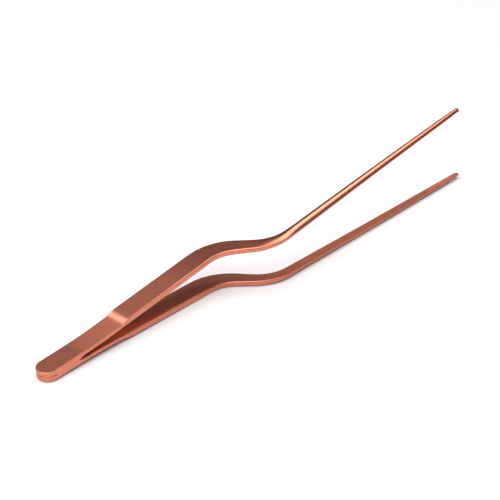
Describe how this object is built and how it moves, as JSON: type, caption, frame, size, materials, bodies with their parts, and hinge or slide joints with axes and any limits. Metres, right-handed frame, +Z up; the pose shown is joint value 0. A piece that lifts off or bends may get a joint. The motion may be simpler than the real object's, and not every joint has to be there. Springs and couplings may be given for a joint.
{
  "type": "offset precision tweezers",
  "caption": "Long offset spring tweezers in copper-coated steel, with S-bent arms welded at the heel, thin spring sections, flat grip blades and tapered rods.",
  "frame": {"origin": "under the middle of the whole object's box, on the surface that the tweezers lie on", "axes": "+X from the butt to the tips, +Z up, away from the surface; the rods are set off towards -Y. The seam plane is tilted 3.9 degrees up along +X and 1 degree down along +Y, as the tweezers lie at rest"},
  "size_m": [0.2548, 0.0278, 0.0392],
  "materials": {
    "copper_coated_steel": "stainless steel with a copper-coloured coating, faces brushed across the arm, edges and step polished",
    "ground_weld": "weld metal ground flush and coated with the arms"
  },
  "bodies": {
    "heel": {"upper_heel": "copper_coated_steel", "lower_heel": "copper_coated_steel", "weld_bead_left": "ground_weld", "weld_bead_right": "ground_weld"},
    "upper_arm": {"upper_blade": "copper_coated_steel"},
    "lower_arm": {"lower_blade": "copper_coated_steel"}
  },
  "joints": [
    {"name": "upper_arm_flex", "type": "hinge", "parent": "heel", "child": "upper_arm", "pos_m": [-0.09551, 0.00846, 0.00655], "axis": [0, 0.9998, -0.0176], "range_deg": [0, 4.45], "stiffness_Nm_per_rad": 5},
    {"name": "lower_arm_flex", "type": "hinge", "parent": "heel", "child": "lower_arm", "pos_m": [-0.09524, 0.00839, 0.00258], "axis": [0, -0.9998, 0.0176], "range_deg": [0, 4.45], "stiffness_Nm_per_rad": 5}
  ],
  "couplings": [
    {"joint": "lower_arm_flex", "follows": "upper_arm_flex", "ratio": 1}
  ]
}
